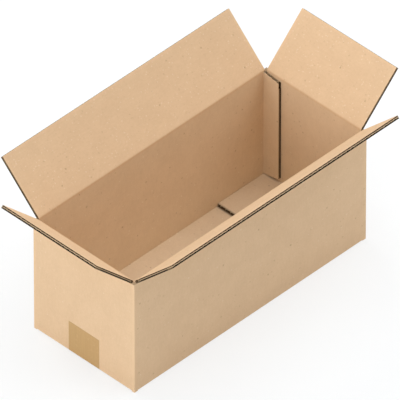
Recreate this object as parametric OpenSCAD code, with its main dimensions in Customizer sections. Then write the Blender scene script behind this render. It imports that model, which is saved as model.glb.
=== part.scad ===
// Regular slotted carton of single-wall corrugated board, open at the top and taped underneath.
// It is folded from one blank: four walls, four top flaps, four bottom flaps and a glue tab.
// Length runs along X, width along Y. The origin is on the ground under the middle of the base.

/* [Carton] */
// Outside length
carton_l = 388; // [250:1:600]
// Outside width
carton_w = 166; // [120:1:300]
// Height from the ground to the upper fold line
carton_h = 166; // [80:1:500]
// Gap between the two long flaps where they meet, above and below
seam_gap = 1.5; // [0.5:0.1:6]
// Outward tilt of the open top flaps from upright
flap_tilt = 45; // [20:1:70]

/* [Board] */
// Thickness of the board
board_t = 4; // [3:0.1:6]
// Thickness of each flat facing paper
liner_t = 0.35; // [0.2:0.05:0.6]
// Thickness of the waved paper in the middle
medium_t = 0.3; // [0.2:0.05:0.5]
// Distance from one flute to the next
flute_pitch = 7.9; // [5:0.1:10]
// Width of the glue line along the tip of a flute
glue_w = 0.5; // [0.2:0.1:1]

/* [Folds] */
// Outside radius of the upright folds
upright_r = 1; // [0.5:0.5:6]
// Outside radius of the folds round the base
base_r = 2; // [0.5:0.5:3.5]
// Thickness of the board left in the line of a score
score_skin = 0.5; // [0.3:0.1:1]
// Gap between the two crushed faces of a score when it is folded shut
score_gap = 0.2; // [0.1:0.05:0.5]
// Gap between sheets that pass each other
sheet_gap = 0.3; // [0.1:0.05:1]
// Gap between the side of a top flap and the inside of the wall beside it when it is shut
slot_gap = 1.7; // [0.3:0.1:4]
// Gap between the short bottom flaps and the long ones they lie on
layer_gap = 0.2; // [0.1:0.05:0.5]

/* [Short bottom flaps] */
// Reach of a short bottom flap from the outside of its end wall
inner_reach = 85; // [40:1:110]

/* [Glue tab] */
// Reach of the tab along the inside of the end wall
tab_reach = 25; // [15:1:50]
// Drop of the tab's upper edge over its reach
tab_top_drop = 4; // [2:0.5:12]
// Rise of the tab's lower edge over its reach
tab_foot_rise = 5; // [1:0.5:12]
// Gap between the free edge of the end wall and the face of the long wall
joint_gap = 1; // [0.5:0.1:2]

/* [Tape] */
// Width of the tape
tape_w = 50; // [25:1:75]
// Thickness of the tape
tape_t = 0.1; // [0.05:0.01:0.3]
// Height to which the tape is turned up on the end walls
tape_leg = 46; // [20:1:75]

/* [Hidden] */
$fn = 64;

// Half sizes of the outside, and of the space between the walls
half_l = carton_l / 2;
half_w = carton_w / 2;
inner_half_l = half_l - board_t;
inner_half_w = half_w - board_t;

// A flap stops short of the outside at each end by the wall next to it and the cut of the slot
flap_inset = board_t + slot_gap;
long_flap_w = carton_l - 2 * flap_inset;
short_flap_w = carton_w - 2 * flap_inset;
short_base_w = carton_w - 2 * (board_t + sheet_gap);
long_flap_reach = (carton_w - seam_gap) / 2;

// The short top flaps close under the long ones. Their fold axis lies lower and their outside face
// runs past it at a distance, so that open flaps of both kinds meet the walls at one height.
under_step = board_t + sheet_gap;
axis_offset = under_step * sin(flap_tilt) / (1 + sin(flap_tilt));
short_axis_z = carton_h - under_step + axis_offset;
short_flap_reach = long_flap_reach + axis_offset / tan(flap_tilt);
short_closed_z = carton_h - under_step;

// Levels of the bottom layers
long_layer_z = tape_t;
short_layer_z = long_layer_z + board_t + layer_gap;
floor_z = short_layer_z + board_t;

// Outside radius of the tab's fold, which leaves a skin of board at the inside of the corner
tab_fold_r = board_t - score_skin;

// The tab keeps clear of the short top flap above it and the short bottom flap below it
tab_top_z = short_closed_z - board_t - sheet_gap;
tab_foot_z = floor_z + sheet_gap;

// Colours of the board and the tape
kraft = [0.80, 0.66, 0.50];
tape_tan = [0.78, 0.64, 0.45];

// Flute pitch fitted to a width, so that both of its sides are cut where the wave is halfway up
function fitted_pitch(w) = w / (round(w / flute_pitch - 0.5) + 0.5);

// Wave of the waved paper at a place x, with pitch p: its middle line, its slope, and half its
// thickness measured upright
wave_rise = board_t / 2 - liner_t - medium_t / 2;
function wave_mid(x, p) = -wave_rise * cos(360 * x / p);
function wave_slope(x, p) = wave_rise * 2 * PI / p * sin(360 * x / p);
function wave_half(x, p) = medium_t / 2 * sqrt(1 + pow(wave_slope(x, p), 2));

// Section of one open flute between two glue lines, over a trough of the wave at X = 0
module flute_section(p) {
    peak = p / 2;
    facing = board_t / 2 - liner_t;
    polygon(concat(
        [[-peak + glue_w / 2, facing]],
        [for (x = [-0.5, -0.12, 0.12, 0.5] * peak) [x, wave_mid(x, p) + wave_half(x, p)]],
        [[peak - glue_w / 2, facing]]
    ));
}

// Section of corrugated board: its width along X, its thickness along Y from the outside face. The
// open flutes lie above and below the wave in turn, and the last ones are cut through at the edges.
module board_section(w) {
    p = fitted_pitch(w);
    last = ceil(w / p + 0.5);
    translate([0, board_t / 2]) difference() {
        square([w, board_t], center = true);
        for (i = [-last:last])
            translate([i * p / 2, 0]) rotate(i % 2 == 0 ? 0 : 180) flute_section(p);
    }
}

// Corrugated board lying flat: width along X, flutes along Y from 0 to reach, outside face at Z = 0
module board(w, reach) {
    translate([0, reach, 0]) rotate([90, 0, 0]) linear_extrude(reach) board_section(w);
}

// Top flap lying flat with its fold axis along X at Y = 0. Its root is bevelled where the score is
// crushed, so that it can close on the bevelled top of the wall.
module top_flap(w, reach) {
    root = score_skin + score_gap;
    difference() {
        board(w, reach);
        rotate([90, 0, 90]) translate([0, 0, -w / 2 - 1]) linear_extrude(w + 2)
            polygon([
                [-1, -1],
                [root - 1, -1],
                [root + board_t + 1, board_t + 1],
                [-1, board_t + 1]
            ]);
    }
}

// Puts a flap on the wall that faces the direction turn, counted from +Y, tilted outward
module hang_flap(turn, wall, axis_z, offset) {
    rotate([0, 0, turn]) translate([0, wall, axis_z]) rotate([90 - flap_tilt, 0, 0])
        translate([0, 0, offset]) children();
}

// Corner to be cut away so that the edge at the origin becomes an arc of radius r
module round_corner(r) {
    difference() {
        translate([-r, -r]) square([r + 1, r + 1]);
        translate([-r, -r]) circle(r);
    }
}

// Outline of the walls seen from above. Three corners are folds. At the fourth the long wall turns
// inward as the glue tab, and the free edge of the end wall covers it.
module wall_outline() {
    difference() {
        square([carton_l, carton_w], center = true);
        translate([-half_l, -half_w]) rotate(180) round_corner(upright_r);
        translate([-half_l, half_w]) rotate(90) round_corner(upright_r);
        translate([half_l, -half_w]) rotate(-90) round_corner(upright_r);
        translate([inner_half_l, half_w - joint_gap]) square([board_t + 1, joint_gap + 1]);
        translate([inner_half_l, half_w]) intersection() {
            round_corner(tab_fold_r);
            translate([-tab_fold_r, -tab_fold_r]) square([tab_fold_r, tab_fold_r + 1]);
        }
    }
}

// Section of what is cut from the top of a wall, where the score is crushed to a bevel: X outward from
// the wall's face, Y up from the outside face of the closed flap. A skin is left at the wall's face.
module bevel_cut(top) {
    polygon([
        [-score_skin, 0],
        [-score_skin, top],
        [-board_t - 1, top],
        [-board_t - 1, -board_t - 1 + score_skin]
    ]);
}

// Runs a section along the wall that faces the direction turn: its X outward, its Y up from z
module along_wall(turn, wall, z, len) {
    rotate([0, 0, turn]) translate([-len / 2, wall, z]) rotate([90, 0, 90]) linear_extrude(len) children();
}

// Section of what is cut from the top of an end wall: the bevel, and all above the fold axis but a
// rolled lip round that axis
module lip_cut() {
    difference() {
        union() {
            bevel_cut(under_step + 1);
            translate([-board_t - 1, axis_offset]) square([board_t + 2, under_step + 1]);
        }
        translate([0, axis_offset]) circle(axis_offset - score_gap);
    }
}

// Upright walls, with crushed tops for the flaps and rounded lower edges
module walls() {
    difference() {
        translate([0, 0, long_layer_z]) linear_extrude(carton_h - long_layer_z) difference() {
            wall_outline();
            square([2 * inner_half_l, 2 * inner_half_w], center = true);
        }
        for (turn = [0, 180])
            along_wall(turn, half_w, carton_h, long_flap_w + 2 * sheet_gap) bevel_cut(1);
        for (turn = [90, 270])
            along_wall(turn, half_l, short_closed_z, short_flap_w + 2 * sheet_gap) lip_cut();
        for (turn = [0, 180])
            along_wall(turn, half_w, long_layer_z, long_flap_w) rotate(-90) round_corner(base_r);
        for (turn = [90, 270])
            along_wall(turn, half_l, long_layer_z, short_base_w) rotate(-90) round_corner(base_r);
    }
}

// Long bottom flaps: the outer layer of the base, folded in from the long walls to the seam
module long_bottom_flaps() {
    reach = half_w - seam_gap / 2 - base_r;
    for (side = [-1, 1])
        translate([-long_flap_w / 2, side * (seam_gap / 2 + reach / 2) - reach / 2, long_layer_z])
            cube([long_flap_w, reach, board_t]);
}

// Short bottom flaps: the inner layer, folded in from the end walls, with open flutes at the edge
module short_bottom_flaps() {
    for (turn = [90, 270])
        rotate([0, 0, turn]) translate([0, half_l - inner_reach, short_layer_z])
            board(short_base_w, inner_reach - board_t / 2);
}

// Glue tab: board that stands against the inside of the end wall, its upper and lower edges slanted
module glue_tab() {
    root = board_t / 2;
    fold_y = inner_half_w;
    edge_y = inner_half_w - tab_reach;
    intersection() {
        translate([inner_half_l, fold_y + (root - tab_reach) / 2, tab_foot_z]) rotate([0, 0, 90])
            linear_extrude(tab_top_z - tab_foot_z) board_section(tab_reach + root);
        translate([inner_half_l - board_t - 1, 0, 0]) rotate([90, 0, 90]) linear_extrude(board_t + 2)
            polygon([
                [fold_y + root + 1, tab_foot_z - 1],
                [fold_y, tab_foot_z],
                [edge_y - 1, tab_foot_z + tab_foot_rise * (tab_reach + 1) / tab_reach],
                [edge_y - 1, tab_top_z - tab_top_drop * (tab_reach + 1) / tab_reach],
                [fold_y, tab_top_z],
                [fold_y + root + 1, tab_top_z + 1]
            ]);
    }
}

module carton() {
    color(kraft) {
        walls();
        long_bottom_flaps();
        short_bottom_flaps();
        glue_tab();
    }
}

// Side view of the carton's lower part, as high as the tape goes and larger by grow on every side
module tape_outline(grow, top) {
    r = base_r + grow;
    difference() {
        translate([-half_l - grow, long_layer_z - grow])
            square([carton_l + 2 * grow, top - long_layer_z + grow]);
        translate([half_l + grow, long_layer_z - grow]) rotate(-90) round_corner(r);
        translate([-half_l - grow, long_layer_z - grow]) rotate(180) round_corner(r);
    }
}

// Tape: one strip under the seam, turned up on both end walls
module tape() {
    color(tape_tan) rotate([90, 0, 0]) translate([0, 0, -tape_w / 2]) linear_extrude(tape_w) difference() {
        tape_outline(tape_t, tape_leg);
        tape_outline(0, tape_leg + 1);
    }
}

// Long flaps
module flap_front() {
    color(kraft) hang_flap(180, half_w, carton_h, 0) top_flap(long_flap_w, long_flap_reach);
}

module flap_back() {
    color(kraft) hang_flap(0, half_w, carton_h, 0) top_flap(long_flap_w, long_flap_reach);
}

// Short flaps
module flap_left() {
    color(kraft) hang_flap(90, half_l, short_axis_z, axis_offset) top_flap(short_flap_w, short_flap_reach);
}

module flap_right() {
    color(kraft) hang_flap(270, half_l, short_axis_z, axis_offset) top_flap(short_flap_w, short_flap_reach);
}

carton();
tape();
flap_front();
flap_back();
flap_left();
flap_right();
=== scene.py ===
# %% [markdown]
# # A regular slotted carton, open at the top
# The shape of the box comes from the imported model: four walls and a taped base folded from one
# sheet of corrugated board, and four top flaps. This script dresses that model. It adds the paper
# in the folds, the crushed edges of the flaps and the top of the glue tab, paints the board and
# the tape, and sets up the floor, the light and the camera. Every mesh is in metres, in the frame
# of the model, with the ground at Z = 0.

import math

import bmesh
import bpy
from mathutils import Matrix, Vector, noise


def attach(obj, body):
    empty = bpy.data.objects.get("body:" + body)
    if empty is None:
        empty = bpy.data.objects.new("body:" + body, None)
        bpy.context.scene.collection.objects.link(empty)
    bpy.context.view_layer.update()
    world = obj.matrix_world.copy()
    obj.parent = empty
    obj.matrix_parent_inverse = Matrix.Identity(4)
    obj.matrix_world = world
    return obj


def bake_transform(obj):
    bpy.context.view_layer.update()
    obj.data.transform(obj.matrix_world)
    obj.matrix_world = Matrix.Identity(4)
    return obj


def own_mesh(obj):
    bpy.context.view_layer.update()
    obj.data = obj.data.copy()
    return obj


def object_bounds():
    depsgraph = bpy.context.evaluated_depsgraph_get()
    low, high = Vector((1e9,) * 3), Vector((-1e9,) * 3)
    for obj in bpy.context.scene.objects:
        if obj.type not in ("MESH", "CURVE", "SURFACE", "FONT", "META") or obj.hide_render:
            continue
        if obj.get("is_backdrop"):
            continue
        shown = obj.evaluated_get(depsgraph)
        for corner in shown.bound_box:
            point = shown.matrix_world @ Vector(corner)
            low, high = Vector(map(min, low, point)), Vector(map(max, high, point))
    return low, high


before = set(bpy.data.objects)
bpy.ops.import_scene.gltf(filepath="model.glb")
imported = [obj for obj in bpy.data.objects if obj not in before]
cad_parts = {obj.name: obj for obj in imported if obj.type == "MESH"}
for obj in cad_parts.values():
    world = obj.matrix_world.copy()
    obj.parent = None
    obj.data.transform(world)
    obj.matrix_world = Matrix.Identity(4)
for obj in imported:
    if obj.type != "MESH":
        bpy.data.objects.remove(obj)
cad_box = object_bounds()

# %% [markdown]
# ## Sizes
# The new pieces have to meet the walls and the flaps, so they use the sizes of the board and the
# box. These could be measured on the meshes, but a name says better what a size stands for. So
# they are written once here, in millimetres as on a maker's drawing, and turned to metres where a
# mesh is made.

# %% Sizes of the box, in millimetres
MM = 0.001
LENGTH, WIDTH, HEIGHT = 388.0, 166.0, 166.0
BOARD, LINER, MEDIUM = 4.0, 0.35, 0.3    # the board, its flat outer papers, its waved paper
SEAM = 1.5                               # between the two long flaps when they are shut
FLAP_INSET = 5.7                         # from the corner of the box to the side of a flap
FLAP_REACH = (WIDTH - SEAM) / 2
FLAP_TILT = math.radians(45)
LONG_FOLD = LENGTH - 2 * FLAP_INSET
SHORT_FOLD = WIDTH - 2 * FLAP_INSET
FLUTE_PITCH = LONG_FOLD / 47.5           # a long flap is 47 and a half waves wide
SHORT_LAYER, SHORT_REACH = (4.3, 8.3), 85.0    # heights and reach of the short bottom flaps
TAPE_WIDTH, TAPE_RISE = 50.0, 46.0
print("fold lengths:", LONG_FOLD, SHORT_FOLD, "flute pitch:", round(FLUTE_PITCH, 3))

# %% [markdown]
# ## Camera
# The photograph was taken from far away with a long lens, so lines that are parallel on the box
# stay almost parallel in the picture. A camera 22 metres away with a very long lens does the
# same. Its bearing and height above the horizon were found by matching the corners of the box.

# %% Place the camera
AZIMUTH, ELEVATION = math.radians(-45.439), math.radians(40.667)
DISTANCE = 22.0
PIXELS_PER_METRE = 854.1
FRAME_PIXELS = 400
MIDDLE = Vector((0, 0, 0.1283))
MIDDLE_RIGHT, MIDDLE_UP = 0.00052, 0.00005

back = Vector((
    math.sin(AZIMUTH) * math.cos(ELEVATION),
    -math.cos(AZIMUTH) * math.cos(ELEVATION),
    math.sin(ELEVATION),
))
right = Vector((math.cos(AZIMUTH), math.sin(AZIMUTH), 0))
upward = back.cross(right)
lens = bpy.data.cameras.new("long_lens")
lens.sensor_width = 36
lens.lens = lens.sensor_width * DISTANCE * PIXELS_PER_METRE / FRAME_PIXELS
lens.clip_start, lens.clip_end = 1, 40
camera = bpy.data.objects.new("camera", lens)
camera.location = MIDDLE - right * MIDDLE_RIGHT - upward * MIDDLE_UP + back * DISTANCE
camera.rotation_mode = "QUATERNION"
camera.rotation_quaternion = (-back).to_track_quat("-Z", "Y")
bpy.context.scene.collection.objects.link(camera)
bpy.context.scene.camera = camera
bpy.context.scene.view_settings.view_transform = "Standard"
print("lens:", round(lens.lens), "mm")

# %% [markdown]
# ## Writing materials as sums
# A material is a graph of nodes, and a long one is hard to read as links. Signal wraps one output
# of a node, so that ordinary arithmetic on it adds the Math nodes. Finish holds the nodes of a
# material or of the world, and its one method `node` adds any node: the settings come first, then
# the values or links of its sockets.

# %% A signal and a finish
class Signal:
    """An output of a node. Arithmetic on it adds Math nodes to the same finish."""

    def __init__(self, finish, socket):
        self.finish, self.socket = finish, socket

    def math(self, operation, *values):
        return self.finish.node("ShaderNodeMath", {"operation": operation}, dict(enumerate(values)))

    def __add__(self, other): return self.math("ADD", self, other)
    def __radd__(self, other): return self.math("ADD", other, self)
    def __sub__(self, other): return self.math("SUBTRACT", self, other)
    def __rsub__(self, other): return self.math("SUBTRACT", other, self)
    def __mul__(self, other): return self.math("MULTIPLY", self, other)
    def __rmul__(self, other): return self.math("MULTIPLY", other, self)
    def __lt__(self, other): return self.math("LESS_THAN", self, other)
    def __gt__(self, other): return self.math("GREATER_THAN", self, other)
    def __abs__(self): return self.math("ABSOLUTE", self)


class Finish:
    """The nodes of one material, or of the world. They start empty."""

    def __init__(self, owner):
        owner.use_nodes = True
        self.owner, self.tree = owner, owner.node_tree
        self.tree.nodes.clear()

    def node(self, kind, settings=None, sockets=None, out=0):
        made = self.tree.nodes.new(kind)
        for name, value in (settings or {}).items():
            setattr(made, name, value)
        for name, value in (sockets or {}).items():
            if isinstance(value, Signal):
                self.tree.links.new(value.socket, made.inputs[name])
            else:
                made.inputs[name].default_value = value
        return Signal(self, made.outputs[out]) if made.outputs else None


# %% [markdown]
# A few more words make the recipes short. `smaller` and `larger` pick one of two signals, and
# `ramp` rises smoothly from 0 to 1 between two values. `dot` measures how far a point lies along
# a direction, `stretch` and `shift` multiply and add vectors, and `blend` goes from one colour to
# another. Colours and vectors have nodes of their own, because a Math node turns a colour grey.

# %% Helpers for numbers, distances and colours
def smaller(one, other):
    return one.math("MINIMUM", one, other)


def larger(one, other):
    return one.math("MAXIMUM", one, other)


def ramp(signal, low, high):
    sockets = {"Value": signal, "From Min": low, "From Max": high}
    return signal.finish.node("ShaderNodeMapRange", {"interpolation_type": "SMOOTHSTEP"}, sockets)


def dot(finish, vector, direction):
    settings = {"operation": "DOT_PRODUCT"}
    return finish.node("ShaderNodeVectorMath", settings, {0: vector, 1: direction}, out="Value")


def stretch(finish, vector, scale):
    return finish.node("ShaderNodeVectorMath", {"operation": "MULTIPLY"}, {0: vector, 1: scale})


def shift(finish, vector, step):
    return finish.node("ShaderNodeVectorMath", {"operation": "ADD"}, {0: vector, 1: step})


def blend(finish, low, high, factor):
    settings = {"data_type": "RGBA"}
    return finish.node("ShaderNodeMix", settings, {0: factor, 6: low, 7: high}, out=2)


# %% [markdown]
# The finishes of paper and tape share three things. `millimetres` gives the point on the piece in
# millimetres, so that the scale of a pattern can be written as it is measured on paper. `mottle`
# is soft noise, and `rough_surface` ends a recipe with a shader whose relief is a bump.

# %% Helpers for paper and tape
RELIEF = 0.35    # strength of the bump in paper and tape


def millimetres(finish):
    where = finish.node("ShaderNodeTexCoord", out="Object")
    return stretch(finish, where, (1 / MM, 1 / MM, 1 / MM))


def mottle(finish, place, scale, detail, roughness=0.5, out=0):
    sockets = {"Vector": place, "Scale": scale, "Detail": detail, "Roughness": roughness}
    return finish.node("ShaderNodeTexNoise", {}, sockets, out)


def rough_surface(finish, colour, roughness, height, relief, sheen):
    """The relief is the depth of the bump in metres, the sheen how much a smooth spot reflects."""
    bump = finish.node("ShaderNodeBump", {}, {
        "Height": height, "Strength": RELIEF, "Distance": relief}, out="Normal")
    shader = finish.node("ShaderNodeBsdfPrincipled", {}, {
        "Base Color": colour, "Roughness": roughness, "Normal": bump, "Specular IOR Level": sheen})
    finish.node("ShaderNodeOutputMaterial", {}, {"Surface": shader})
    return finish.owner


# %% [markdown]
# ## Kraft board
# Kraft liner is brown paper with long fibres. Seen close it has faint clouds where the pulp lies
# thicker, short fibres that run one way, and a few dark and pale specks of bark and bleached
# pulp. A photograph of paper would show all of that, but it would repeat or stretch over a box.
# Here it is noise on the piece's own coordinates, each layer at its real scale. The inner sides
# of the flaps show more of the fine flecks than the walls do.

# %% Colours of the paper
KRAFT_LIGHT = (0.742, 0.526, 0.332, 1)
KRAFT_DARK = (0.682, 0.474, 0.292, 1)
PULP = (0.860, 0.700, 0.520, 1)
BARK = (0.330, 0.178, 0.088, 1)
SPECKS = (
    # colour, spacing, radius, share that is kept, strength, and whether it is a fine fleck
    (PULP, 8.0, 1.3, 0.35, 0.55, False),
    (PULP, 4.1, 1.2, 0.50, 0.50, True),
    (BARK, 3.7, 1.1, 0.50, 0.14, True),
    (BARK, 9.0, 1.5, 0.45, 0.26, False),
    (BARK, 12.5, 1.7, 0.45, 0.50, False),
)
print(len(SPECKS), "kinds of specks")


# %% The layers of one sheet
def specks(finish, place, spacing, radius, share):
    """Spots of one kind: the spacing of their cells, their radius, and the share that is kept."""
    grid = {"Vector": place, "Scale": 1 / spacing}
    near = finish.node("ShaderNodeTexVoronoi", {}, grid, out="Distance") * spacing
    pick = finish.node("ShaderNodeTexVoronoi", {}, grid, out="Color")
    kept = dot(finish, pick, (1, 0, 0)) < share
    return (1 - ramp(near, radius * 0.2, radius)) * kept


def paper(finish, place, fibre_scale, flaky):
    """The colour of kraft paper, and the height of its fibres."""
    clouds = mottle(finish, place, 0.045, 3.0, 0.55)
    patches = mottle(finish, place, 0.35, 4.0, 0.6)
    fibres = mottle(finish, stretch(finish, place, fibre_scale), 1.0, 3.0, 0.6)
    tone = ramp(clouds, 0.35, 0.65) * 0.35 + ramp(patches, 0.3, 0.7) * 0.35
    tone = tone + ramp(fibres, 0.3, 0.7) * 0.3
    colour = blend(finish, KRAFT_DARK, KRAFT_LIGHT, tone)
    frayed = stretch(finish, mottle(finish, place, 0.6, 2.0, out="Color"), (3, 3, 3))
    frayed = shift(finish, place, frayed)
    for tint, spacing, radius, share, strength, fine in SPECKS:
        spots = specks(finish, frayed, spacing, radius, share)
        colour = blend(finish, colour, tint, spots * (strength * flaky if fine else strength))
    return colour, fibres


# %% [markdown]
# Where the board is cut, its two liners are painted as near-black lines with the wave between them:
# painted shade, as in open flutes. That could be drawn on each edge, but the depth of a point in
# the board already tells which paper it is in. So the finish of a board piece asks `surfaces` five
# things about each point:
# - `cut` is 1 where the surface is a cut through the board, and less where a painted shadow,
#   painted shade or a darker edge takes the colours of a cut,
# - `depth` is the distance from the outer face of the board, in millimetres,
# - the rim mark is 1 at the folds and free edges, which get a painted highlight and are rubbed a
#   little lighter,
# - the fourth is 1 deep in the box and less towards its top: there the inner paper is paler, with
#   painted light that makes it lighter and greyer deep in the box's shade,
# - the last tells how light the wave in the cut is painted, from 0 for painted shade to 1 for paper
#   in full light.

# %% The finish of board
# painted light: the inner paper is paler, and lighter and greyer towards the bottom of the box
INNER_PALE_AND_PAINTED_LIGHT = (1.06, 1.17, 1.29, 1)
# painted highlight: folds and free edges are painted lighter, together with the liner rubbed there
RIM_HIGHLIGHT_AND_RUB = (0.790, 0.547, 0.335, 1)
# painted shade: the near-black bands of a cut, at its liners, stand in for the shade in open flutes
CUT_OUTER_SHADE = (0.022, 0.011, 0.003, 1)
CUT_INNER_SHADE = (0.052, 0.029, 0.010, 1)
# the wave in a cut, in painted shade and in painted light that is paler than the board
WAVE_PAINTED_SHADE = (0.100, 0.056, 0.022, 1)
WAVE_PAINTED_LIT = (0.900, 0.660, 0.420, 1)
WAVE_BEGINS, WAVE_ENDS = (1.5, 1.9), (2.5, 2.8)    # depths at which a cut changes its colour
FIBRES_UPRIGHT = (0.45, 0.45, 0.12)
FIBRES_ALONG_X = (0.12, 0.45, 0.45)
FIBRES_ALONG_Y = (0.45, 0.12, 0.45)


def board_finish(name, surfaces, fibre_scale=FIBRES_UPRIGHT, flaky=0.3):
    finish = Finish(bpy.data.materials.new(name))
    facing = finish.node("ShaderNodeTexCoord", out="Normal")
    place = millimetres(finish)
    cut, depth, rim_highlight_and_rub, inner_pale_and_painted_light, painted_wave_light = surfaces(finish, place, facing)
    colour, fibres = paper(finish, place, fibre_scale, flaky)
    # a paler inner paper, with painted light that grows towards the bottom of the box
    colour = stretch(finish, colour, blend(finish, (1, 1, 1, 1), INNER_PALE_AND_PAINTED_LIGHT, inner_pale_and_painted_light))
    # painted highlight and rubbing at the folds and free edges
    colour = blend(finish, colour, RIM_HIGHLIGHT_AND_RUB, rim_highlight_and_rub * 0.35)
    crumbs = mottle(finish, place, 1.2, 2.0)
    torn = depth + (crumbs - 0.5) * 0.6
    # how light the wave is painted, from painted shade to paper in full light
    wave = blend(finish, WAVE_PAINTED_SHADE, WAVE_PAINTED_LIT, painted_wave_light)
    # the cut is painted near black at both liners, as painted shade, with the wave between them
    edge = blend(finish, CUT_OUTER_SHADE, wave, ramp(torn, *WAVE_BEGINS))
    edge = blend(finish, edge, CUT_INNER_SHADE, ramp(torn, *WAVE_ENDS))
    return rough_surface(
        finish, blend(finish, colour, edge, cut), roughness=0.78 + fibres * 0.14,
        height=fibres + crumbs * cut * 3, relief=0.06 * MM, sheen=0.1)


def paint(name, material):
    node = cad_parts[name]
    node.data.materials.clear()
    node.data.materials.append(material)
    print("painted", name, "with", material.name)


# %% [markdown]
# ## Top flaps
# A flap is flat board that leans outward. The distance of a point from its outer face tells
# whether it is on a face or within the thickness of the board, where it is cut. The wave in the cut
# is painted darker at the sides of a flap, more on the back and right flaps, as painted shade.

# %% The four folds, and the directions of a flap
FOLDS = {
    # name: (turn from +Y, distance of the wall, length of the fold)
    "back": (0, WIDTH / 2, LONG_FOLD),
    "left": (90, LENGTH / 2, SHORT_FOLD),
    "front": (180, WIDTH / 2, LONG_FOLD),
    "right": (270, LENGTH / 2, SHORT_FOLD),
}


def directions(turn):
    """Outward and along the fold, for the wall that faces this turn."""
    angle = math.radians(turn)
    outward = Vector((-math.sin(angle), math.cos(angle), 0))
    return outward, Vector((math.cos(angle), math.sin(angle), 0))


def flap_directions(turn, wall):
    """Where the flap starts, along its fold, up its outer face, and in through the board."""
    outward, along = directions(turn)
    reach = outward * math.sin(FLAP_TILT) + Vector((0, 0, math.cos(FLAP_TILT)))
    inward = Vector((0, 0, math.sin(FLAP_TILT))) - outward * math.cos(FLAP_TILT)
    return outward * wall + Vector((0, 0, HEIGHT)), along, reach, inward


# %% Finishes of the four top flaps
SKIN = 0.08              # a point this close to a face of the flap belongs to the face
SIDE_CUT = 2.2           # as far from the side of a flap, its last half wave is cut open
TIP_CUT = 0.15           # as far from the free edge, the edge itself ends
# painted shade: how much darker the wave is painted at the sides of each flap
SIDE_PAINTED_SHADE = {"back": 0.75, "left": 0.4, "front": 0.4, "right": 0.75}


def flap_surfaces(name):
    turn, wall, length = FOLDS[name]
    fold, along, reach, inward = flap_directions(turn, wall)

    def surfaces(finish, place, facing):
        depth = dot(finish, place, inward) - fold.dot(inward)
        run = dot(finish, place, reach) - fold.dot(reach)
        side = length / 2 - abs(dot(finish, place, along))
        cut = (depth > SKIN) * (depth < BOARD - SKIN)
        # painted highlight and rubbing along the sides and the free edge
        rim_highlight_and_rub = 1 - ramp(side, 0.5, 4.0) * ramp(FLAP_REACH - run, 0.5, 4.0)
        in_flute = (side > SIDE_CUT) * (run < FLAP_REACH - TIP_CUT)
        at_side = (side < SIDE_CUT) * (run < FLAP_REACH - TIP_CUT)
        # painted shade: the wave is painted darker at the sides than at the free edge
        painted_wave_light = 0.9 - in_flute * 0.1 - at_side * SIDE_PAINTED_SHADE[name]
        return cut, depth, rim_highlight_and_rub, depth * 0, painted_wave_light

    return surfaces


for name, (turn, wall, length) in FOLDS.items():
    fibre_scale = FIBRES_ALONG_X if length == LONG_FOLD else FIBRES_ALONG_Y
    paint("flap_" + name, board_finish(
        "kraft_flap_" + name, flap_surfaces(name), fibre_scale, flaky=1.0))


# %% [markdown]
# ## Carton
# The carton is one folded sheet, and its mesh has no marks for walls, tab or bottom flaps. They
# could be found by the faces' numbers, but those change with every pack. Places hold: the walls
# stand square, so the nearer of the two outer planes gives the depth in a wall. The tab lies one
# board further in, and the bottom flaps lie flat and show their edge to the inside.

# %% What is a cut through the carton's board
TAB_FOOT, TAB_CUT = 12.0, 3.1    # the tab's edge shows its cut above this, and to this depth
CLEAR = 0.05                     # keeps a test clear of the face where it begins


def carton_cuts(z, in_wall, from_end, from_side):
    """The tab's free edge, the short bottom flaps' edges, and the depth of a point in its board."""
    in_tab = (from_end > BOARD + CLEAR) * (from_end < BOARD + TAB_CUT)
    in_tab = in_tab * (z > TAB_FOOT) * (from_side > BOARD + CLEAR)
    under, top = SHORT_LAYER
    in_base = (z < top - 0.1) * (z > under + 0.1) * (in_wall > BOARD + CLEAR)
    depth = in_wall * (1 - in_tab) + (from_end - BOARD) * in_tab
    return in_tab, in_base, depth * (1 - in_base) + in_base * (top - z)


# %% [markdown]
# Three weaker masks share the colours of a cut. A painted shadow lies on the bottom flaps in the
# corner below the step of the short bottom flap, the step's upper edge is painted darker, and the
# cut ends in the slots between the top flaps are painted darker than the faces, as painted shade.
# These are masks like the cuts, only weaker, so they share the colours of a cut.

# %% Painted shadow, painted shade and a darker edge in the carton
STEP_SHADOW, STEP_EDGE_DARKNESS, SLOT_SHADE = 0.7, 0.5, 0.4    # how dark each is, where a cut through the board is 1
STEP_LIGHTER = 0.15                 # the edge of a short bottom flap is this much less dark
STEP_EDGE_WIDTH, STEP_SHADOW_WIDTH = 3.4, 3.0
# painted light deep in the box fades from the base up to this height
INSIDE_DEPTH = 110.0                # the inner paper changes from the base up to this height


def step_edge_and_shadow(z, in_wall, from_end):
    """A darker band on the upper edge of a short bottom flap, and a painted shadow at its foot."""
    under, top = SHORT_LAYER
    # the top of a short bottom flap is painted darker near its edge
    darker_step_edge = (z > top - 0.1) * (z < top + 0.7) * (in_wall > BOARD + CLEAR)
    darker_step_edge = darker_step_edge * (1 - ramp(SHORT_REACH - from_end, 0.0, STEP_EDGE_WIDTH))
    # painted shadow on the bottom flaps at the foot of the step
    painted_step_shadow = (z < under + 0.1) * (in_wall > BOARD) * (from_end > SHORT_REACH - 1)
    painted_step_shadow = painted_step_shadow * (1 - ramp(from_end - SHORT_REACH, -0.5, STEP_SHADOW_WIDTH))
    return darker_step_edge * (from_end < SHORT_REACH + 0.1), painted_step_shadow


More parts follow.
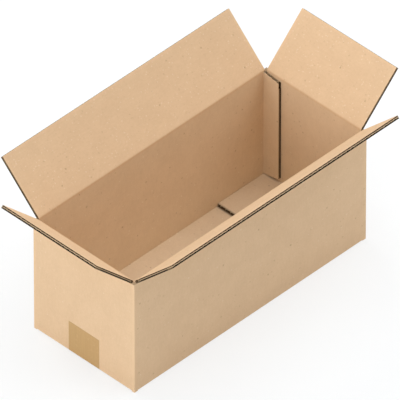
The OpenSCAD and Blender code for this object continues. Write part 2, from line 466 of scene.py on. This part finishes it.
def carton_surfaces(finish, place, facing):
    z = dot(finish, place, (0, 0, 1))
    from_end = LENGTH / 2 - abs(dot(finish, place, (1, 0, 0)))
    from_side = WIDTH / 2 - abs(dot(finish, place, (0, 1, 0)))
    in_wall, corner = smaller(from_end, from_side), larger(from_end, from_side)
    in_tab, in_base, depth = carton_cuts(z, in_wall, from_end, from_side)
    darker_step_edge, painted_step_shadow = step_edge_and_shadow(z, in_wall, from_end)
    # painted shade on the up-facing cut ends in the slots between the top flaps
    painted_slot_shade = (dot(finish, facing, (0, 0, 1)) > 0.4) * (z > HEIGHT / 2)
    painted_slot_shade = painted_slot_shade * (corner < FLAP_INSET + 0.5)
    # the cut mask also carries the painted step shadow, the darker step edge and the painted slot
    # shade
    cut = larger(larger(in_tab, in_base) - in_base * STEP_LIGHTER, painted_step_shadow * STEP_SHADOW)
    cut = larger(larger(cut, darker_step_edge * STEP_EDGE_DARKNESS), painted_slot_shade * SLOT_SHADE)
    # painted highlight and rubbing at the corners and along the top and foot of the outer walls
    rim_highlight_and_rub = 1 - ramp(corner, 1.0, 6.0) * ramp(HEIGHT - z, 0.5, 5.0) * ramp(z, 0.5, 5.0)
    # painted light: deep in the box the inner paper is painted lighter and greyer, half as much at
    # the top
    inner_pale_and_painted_light = (in_wall > BOARD - 0.1) * (1 - 0.5 * ramp(z, 0.0, INSIDE_DEPTH))
    # the wave in the tab's edge is painted dark as shade, and that of the base's edge lighter
    painted_wave_light = in_base * (from_end < SHORT_REACH - 0.2) * 0.7 + in_tab * 0.15
    # the painted step shadow is pushed deep, into the darkest band of a cut
    return cut, depth + painted_step_shadow * 10, rim_highlight_and_rub * (in_wall < 3), inner_pale_and_painted_light, painted_wave_light


paint("carton", board_finish("kraft_walls", carton_surfaces))


# %% [markdown]
# ## Tape
# Brown packing tape is a thin glossy film. It is a little darker and yellower than the board,
# with fine lengthwise streaks, pale specks where air is caught under it, and darker cut ends. The
# packed strip already has the shape, so only its finish is made here.

# %% Finish of the tape
TAPE_BROWN = (0.525, 0.325, 0.134, 1)
TAPE_DEEP = (0.490, 0.298, 0.118, 1)
TAPE_AIR = (0.570, 0.370, 0.170, 1)


def tape_finish():
    finish = Finish(bpy.data.materials.new("packing_tape"))
    place = millimetres(finish)
    streaks = mottle(finish, stretch(finish, place, (0.02, 1.2, 0.02)), 1.0, 2.0)
    bubbles = mottle(finish, place, 0.22, 4.0)
    colour = blend(finish, TAPE_DEEP, TAPE_BROWN, ramp(streaks, 0.3, 0.7))
    colour = blend(finish, colour, TAPE_AIR, ramp(bubbles, 0.56, 0.7) * 0.5)
    side = TAPE_WIDTH / 2 - abs(dot(finish, place, (0, 1, 0)))
    end = TAPE_RISE - dot(finish, place, (0, 0, 1))
    colour = blend(finish, colour, TAPE_DEEP, 1 - ramp(smaller(side, end), 0.2, 1.4))
    return rough_surface(
        finish, colour, roughness=0.42 + streaks * 0.12,
        height=bubbles, relief=0.1 * MM, sheen=0.3)


paint("tape", tape_finish())

# %% [markdown]
# ## Folds
# At a fold the board is crushed along a line and then bent. The inner liner runs on from the wall
# to the flap and covers the crushed waves, which fill the wedge behind it. In the imported model
# that wedge is open, because the wall and the flap must turn freely. Here it is one soft piece: its
# section is drawn once as a face and extruded along the fold. Cuts across it, four to a wave, then
# let the crushed waves show as faint ripples in the crease.

# %% Sections of the folds
CREASE_RISE = 1.66        # the crease lies this far above the rim of the wall
SHOWN_SIDE = {
    # outward from the wall's face, and up from its rim: the liner, up the wall and on to the flap
    "long": ((-BOARD, -3.45), (-BOARD, CREASE_RISE), (0.46, 6.12)),
    "short": ((-BOARD, -7.75), (-BOARD, CREASE_RISE), (-0.79, 4.87)),
}
HIDDEN_SIDE = {
    # the way back, along the end of the flap's board and the top of the wall's
    "long": ((0.46, 1.2), (0.18, 0.2), (-0.5, 0.02)),
    "short": ((-0.79, -0.6), (-1.62, -2.52), (-0.6, -4.3)),
}
CUTS_PER_WAVE = 4
CREASE_REACH, CREASE_PRESS = 2.0, 0.25    # how far round the crease it is pressed, and how deep


def long_section(bm, kind, length):
    """Draws the section at one end of the fold, extrudes it, and cuts it across."""
    points = SHOWN_SIDE[kind] + HIDDEN_SIDE[kind]
    corners = [bm.verts.new((-length / 2, out, up)) for out, up in points]
    section = bm.faces.new(corners)
    shown = [e for e in section.edges if {corners.index(v) for v in e.verts} in ({0, 1}, {1, 2})]
    bmesh.ops.subdivide_edges(bm, edges=shown, cuts=4)
    grown = bmesh.ops.extrude_face_region(bm, geom=list(bm.faces))
    moved = [v for v in grown["geom"] if isinstance(v, bmesh.types.BMVert)]
    bmesh.ops.translate(bm, verts=moved, vec=(length, 0, 0))
    rails = [e for e in bm.edges if abs(e.verts[0].co.x - e.verts[1].co.x) > 1]
    cuts = round(length / FLUTE_PITCH * CUTS_PER_WAVE) - 1
    bmesh.ops.subdivide_edges(bm, edges=rails, cuts=cuts)


def press_crease(bm, turn, wall):
    """Presses the liner in at the crease, deeper over a wave, and a little unevenly."""
    crease = Vector((0, -BOARD, CREASE_RISE))
    press = Vector((0, 1, -0.4)).normalized()
    for v in bm.verts:
        away = (Vector((0, v.co.y, v.co.z)) - crease).length
        near = max(0.0, 1 - away / CREASE_REACH)
        ripple = 0.5 + 0.5 * math.cos(2 * math.pi * v.co.x / FLUTE_PITCH)
        uneven = 0.5 + 0.5 * noise.noise(Vector((v.co.x * 0.11, wall, turn)))
        v.co += press * near * near * (CREASE_PRESS + CREASE_PRESS * ripple * uneven)


# %% [markdown]
# A finished bmesh becomes an object at the origin, with its place in its mesh. Its paper is that
# of the wall below and of the flap above, and only its two ends are cut.

# %% Make the fold pieces
def as_object(bm, name, material):
    mesh = bpy.data.meshes.new(name)
    bm.to_mesh(mesh)
    bm.free()
    made = bpy.data.objects.new(name, mesh)
    made.data.materials.append(material)
    bpy.context.scene.collection.objects.link(made)
    print(name, len(mesh.polygons), "faces")
    return made


def fold_surfaces(turn):
    _, along = directions(turn)

    def surfaces(finish, place, facing):
        z = dot(finish, place, Vector((0, 0, 1)))
        cut = abs(dot(finish, facing, along)) > 0.7
        depth = z - (HEIGHT - 1.0)
        # below the crease the paper is the wall's paler inner paper, with the same painted light
        inner_pale_and_painted_light = 0.5 - ramp(z, HEIGHT - 3, HEIGHT + 1) * 0.5
        # the two ends of a fold piece are cut, with their wave painted dark as shade
        return cut, depth, cut * 0, inner_pale_and_painted_light, cut * 0.2

    return surfaces


def fold_piece(name, turn, wall, length):
    kind = "long" if length == LONG_FOLD else "short"
    bm = bmesh.new()
    long_section(bm, kind, length)
    press_crease(bm, turn, wall)
    bmesh.ops.recalc_face_normals(bm, faces=list(bm.faces))
    place = Matrix.Rotation(math.radians(turn), 4, "Z") @ Matrix.Translation((0, wall, HEIGHT))
    bmesh.ops.transform(bm, matrix=Matrix.Scale(MM, 4) @ place, verts=list(bm.verts))
    piece = as_object(bm, "fold_" + name, board_finish("kraft_fold_" + name, fold_surfaces(turn)))
    outward, _ = directions(turn)
    foot, head = SHOWN_SIDE[kind][0], SHOWN_SIDE[kind][-1]
    (outward * (wall + foot[0]) + Vector((0, 0, HEIGHT + foot[1]))) * MM
    (outward * (wall + foot[0]) + Vector((0, 0, HEIGHT + head[1]))) * MM
    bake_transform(piece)


for name, (turn, wall, length) in FOLDS.items():
    fold_piece(name, turn, wall, length)

# %% [markdown]
# ## Crushed edges
# The knife that cuts the flaps out presses the board together for a moment. At the free edge the
# wave is left lower than inside, as a frayed pale ribbon between the dark openings of the flutes,
# and at the sides the last half flute is pressed shut near the corners. A bump can't show that,
# because the light has to fall past the ribbon into the flutes. So both are strips of paper just
# inside the cut. A strip starts as a flat grid, is bent by a wave and by a noise that is the same
# at every run, and is made solid.

# %% Strips of crushed paper, in the flap's own directions
CORNER_LENGTH, CORNER_DEPTH, CORNER_CRUMPLE = 12.0, 0.5, 0.35
CORNER_TIP = 0.3         # from the free edge to the end of a corner strip
RIBBON_HEIGHT, RIBBON_PAPER, RIBBON_DEPTH, RIBBON_WAVE = 1.4, 0.5, 2.1, 0.2
RIBBON_SHORTER, RIBBON_FRAY = 1.2, (0.2, 0.25)    # frayed along the flap, and through the board


def strip(bm, segments, thickness, bend):
    """Bends a flat grid. The function turns its two shares, from -0.5 to 0.5, into a place."""
    across, through = segments
    grown = bmesh.ops.create_grid(bm, x_segments=across, y_segments=through, size=0.5)
    for v in grown["verts"]:
        v.co = bend(v.co.x, v.co.y)
    faces = list({f for v in grown["verts"] for f in v.link_faces})
    bmesh.ops.solidify(bm, geom=faces, thickness=thickness)


def corner_bend(side, turn):
    height = BOARD - 2 * LINER + 0.2
    middle = FLAP_REACH - CORNER_LENGTH / 2 - CORNER_TIP

    def bend(x, y):
        reach, through = x * CORNER_LENGTH, y * height
        crumple = noise.noise(Vector((reach * 0.5, through * 0.8, side * 0.01 + turn)))
        inset = CORNER_DEPTH + CORNER_CRUMPLE * crumple
        return side - math.copysign(inset, side), middle + reach, BOARD / 2 + through

    return bend


def ribbon_bend(length, turn):
    middle = FLAP_REACH - TIP_CUT - RIBBON_HEIGHT / 2

    def bend(x, y):
        along = x * (length - RIBBON_SHORTER)
        wave = RIBBON_WAVE * math.cos(2 * math.pi * along / FLUTE_PITCH)
        fray = noise.noise(Vector((along * 0.35, turn, 0)))
        reach = middle + y * RIBBON_HEIGHT - RIBBON_FRAY[0] * abs(fray)
        return along, reach, RIBBON_DEPTH + RIBBON_PAPER / 2 + wave + RIBBON_FRAY[1] * fray

    return bend


# %% [markdown]
# The strips are cut all over, and their paper is the wave's. So their finish needs no places: the
# whole strip is at the depth of the wave, painted nearly dark as shade where it is pressed and pale
# with painted light where it frays.

# %% The finish of crushed paper
WAVE_MIDDLE = 2.2


def crush_finish(name, painted_wave_light):
    def surfaces(finish, place, facing):
        always = dot(finish, place, (0, 0, 0)) + 1
        return always, always * WAVE_MIDDLE, always * 0, always * 0, always * painted_wave_light

    return board_finish(name, surfaces)


# painted shade: the pressed strips at the corners are painted nearly dark
CORNER_FINISH = crush_finish("kraft_pressed_painted_shade", 0.1)
# painted light: the frayed ribbon takes the lit wave, paler than the board
RIBBON_FINISH = crush_finish("kraft_frayed", 0.9)
print("crushed paper:", CORNER_FINISH.name, RIBBON_FINISH.name)


# %% [markdown]
# A strip is bent in the flap's own directions: along the fold, up the flap and in through the
# board. Only then is it turned into the place of its flap, so that one recipe serves all four.

# %% Make the crushed edges
def flap_piece(title, name, bm, finish):
    turn, wall, _ = FOLDS[name]
    fold, along, reach, inward = flap_directions(turn, wall)
    for v in bm.verts:
        v.co = (fold + along * v.co.x + reach * v.co.y + inward * v.co.z) * MM
    bmesh.ops.recalc_face_normals(bm, faces=list(bm.faces))
    piece = as_object(bm, title + "_" + name, finish)
    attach(piece, "flap_" + name)


for name, (turn, wall, length) in FOLDS.items():
    corners = bmesh.new()
    for side in (-length / 2, length / 2):
        strip(corners, (10, 4), MEDIUM, corner_bend(side, turn))
    flap_piece("corners", name, corners, CORNER_FINISH)
    ribbon = bmesh.new()
    strip(ribbon, (round(length / FLUTE_PITCH * 8), 1), RIBBON_PAPER, ribbon_bend(length, turn))
    flap_piece("ribbon", name, ribbon, RIBBON_FINISH)

# %% [markdown]
# ## Top of the glue tab
# The tab that closes the joint of the box reaches almost to the fold line. A board that high
# would stop the short flap from closing under the long ones, and the real one is simply pressed
# down by it. So the imported model ends the tab below the closed flap, and its last few millimetres
# are made here. They are three sheets as in the real board: two flat liners with a wave between
# them.

# %% One sheet of the tab
TAB_FOLD, TAB_EDGE = 79.0, 54.0      # the tab runs from its fold to its free edge
TAB_FACE = 186.0                     # the face that looks into the room of the box
TAB_LOW, TAB_HIGH = 8.6, 0.3         # below the rim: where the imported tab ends, and the real one
TAB_DROP = 4.0                       # the upper edge is cut at a slant
TAB_PITCH, TAB_TROUGH = 27 / 3.5, 67.5    # its wave, and where that lies nearest the room
TAB_STEPS = 48                       # straight pieces in the wave
TAB_GROWN = 0.03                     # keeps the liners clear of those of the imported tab


def upright_sheet(bm, x, thickness, wave):
    """A sheet that stands on its lower edge, from the fold to the free edge of the tab."""
    steps = TAB_STEPS if wave else 1
    line, edges = [bm.verts.new((x, TAB_FOLD, 0))], []
    for i in range(steps):
        grown = bmesh.ops.extrude_vert_indiv(bm, verts=[line[-1]])
        line.append(grown["verts"][0])
        line[-1].co.y = TAB_FOLD - (TAB_FOLD - TAB_EDGE) * (i + 1) / steps
        edges.append(grown["edges"][0])
    if wave:
        for v in line:
            v.co.x = x - wave * math.cos(2 * math.pi * (v.co.y - TAB_TROUGH) / TAB_PITCH)
    grown = bmesh.ops.extrude_edge_only(bm, edges=edges)
    top = [v for v in grown["geom"] if isinstance(v, bmesh.types.BMVert)]
    bmesh.ops.translate(bm, verts=top, vec=(0, 0, TAB_LOW - TAB_HIGH))
    faces = list({f for v in line + top for f in v.link_faces})
    bmesh.ops.solidify(bm, geom=faces, thickness=thickness)


# %% Make the top of the tab
def tab_top_surfaces(finish, place, facing):
    """From above, the tab's three sheets are painted paler where they face up, with painted shade
    between.
    """
    depth = LENGTH / 2 - BOARD - dot(finish, place, (1, 0, 0))
    # painted light: faces turned up get a paler wave, and their cut reaches deeper
    upward = dot(finish, facing, (0, 0, 1)) > 0.5
    cut = (depth > 0.4) * (depth < TAB_CUT + upward * 0.5)
    # painted shade: near the free edge the cut takes its near-black band
    at_edge = 1 - ramp(dot(finish, place, (0, 1, 0)), TAB_EDGE + 1, TAB_EDGE + 3)
    paper_depth = WAVE_MIDDLE - 1.7 * at_edge
    # faces that are not cut take the paler inner paper and painted light of the walls
    return cut, paper_depth, cut * 0, 0.5 - cut * 0.5, 0.35 + upward * 0.4


bm = bmesh.new()
upright_sheet(bm, TAB_FACE - TAB_GROWN, LINER, 0)
upright_sheet(bm, TAB_FACE + BOARD - LINER - TAB_GROWN, LINER, 0)
upright_sheet(bm, TAB_FACE + BOARD / 2, MEDIUM, BOARD / 2 - LINER - MEDIUM / 2)
bmesh.ops.recalc_face_normals(bm, faces=list(bm.faces))
for v in bm.verts:
    v.co.z += HEIGHT - TAB_LOW - TAB_DROP * (TAB_FOLD - v.co.y) / (TAB_FOLD - TAB_EDGE)
bmesh.ops.scale(bm, vec=(MM, MM, MM), verts=list(bm.verts))
tab_top = as_object(bm, "tab_top", board_finish("kraft_tab_top", tab_top_surfaces))
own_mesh(tab_top)
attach(tab_top, "carton")

# %% [markdown]
# ## Floor
# The photograph has a white ground with only a breath of shadow round the box. The floor is white
# paper that keeps the shadow. A brighter light would bleach the shadow and the box with it, so
# the camera and reflections see the floor mixed with plain white instead, which makes the shadow
# as faint as it is there.

# %% Lay the floor
SHADOW_SHARE = 0.33      # how much of the real floor, with its shadow, shows through the white
FLOOR_WHITE = (0.885, 0.935, 0.975, 1)
FLOOR_HALF = 12          # metres


def shown(finish):
    """1 for what the camera, gloss or glass sees, and 0 for the light that falls on the box."""
    rays = ("Is Camera Ray", "Is Glossy Ray", "Is Transmission Ray")
    camera_ray, gloss, glass = (finish.node("ShaderNodeLightPath", out=ray) for ray in rays)
    return camera_ray + gloss + glass


finish = Finish(bpy.data.materials.new("white_ground"))
matt = finish.node("ShaderNodeBsdfDiffuse", {}, {"Color": FLOOR_WHITE})
glow = finish.node("ShaderNodeEmission", {}, {"Color": (1, 1, 1, 1), "Strength": 1.0})
mixed = finish.node("ShaderNodeMixShader", {}, {
    0: shown(finish) * (1 - SHADOW_SHARE), 1: matt, 2: glow})
finish.node("ShaderNodeOutputMaterial", {}, {"Surface": mixed})

bm = bmesh.new()
bmesh.ops.create_grid(bm, x_segments=1, y_segments=1, size=FLOOR_HALF)
as_object(bm, "ground", finish.owner)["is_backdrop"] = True

# %% [markdown]
# ## Light
# The light is an even white surround with six large soft lamps. The strongest stands low on the
# left, so that the short end wall is the brightest face and the long wall is calmer. The ones
# above, behind and on the right light the inner faces of the flaps. Their strengths were found by
# rendering the box with one lamp at a time and matching the sums to the brightness of each face.
# They stay at a level at which a colour renders about as it is written.

# %% The white surround
SURROUND = 0.35
studio = Finish(bpy.data.worlds.new("studio"))
sky = studio.node("ShaderNodeBackground", {}, {
    "Color": (1, 1, 1, 1), "Strength": SURROUND + shown(studio) * (1 - SURROUND)})
studio.node("ShaderNodeOutputWorld", {}, {"Surface": sky})
bpy.context.scene.world = studio.owner
print("surround at", SURROUND)

# %% The lamps
LAMPS = (
    # name, direction of the lamp from the box, strength, how wide it looks in degrees
    ("lamp_above", (0, 0, 1), 0.87, 50),
    ("lamp_left", (-1, 0, 0.12), 1.60, 40),
    ("lamp_high_left", (-1, -0.5, 1.2), 0.25, 40),
    ("lamp_right", (1, 0, 0.8), 0.54, 40),
    ("lamp_behind", (0, 1, 0.8), 1.02, 40),
    ("lamp_front_right", (0.7, -0.7, 1), 0.68, 40),
)
for name, towards, strength, width in LAMPS:
    lamp = bpy.data.lights.new(name, "SUN")
    lamp.energy, lamp.angle = strength, math.radians(width)
    placed = bpy.data.objects.new(name, lamp)
    placed.rotation_mode = "QUATERNION"
    placed.rotation_quaternion = Vector(towards).to_track_quat("Z", "Y")
    bpy.context.scene.collection.objects.link(placed)
    print(name, "strength", strength)

# %% [markdown]
# ## Compare the sizes
# The box of the imported model and the box of the dressed one are measured, and the difference of
# their corners is printed, in millimetres.

# %% Print how far the two boxes differ
dressed_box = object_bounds()
grown = [round((b - a) / MM, 2) for c, d in zip(cad_box, dressed_box) for a, b in zip(c, d)]
print("grown by", grown, "mm")
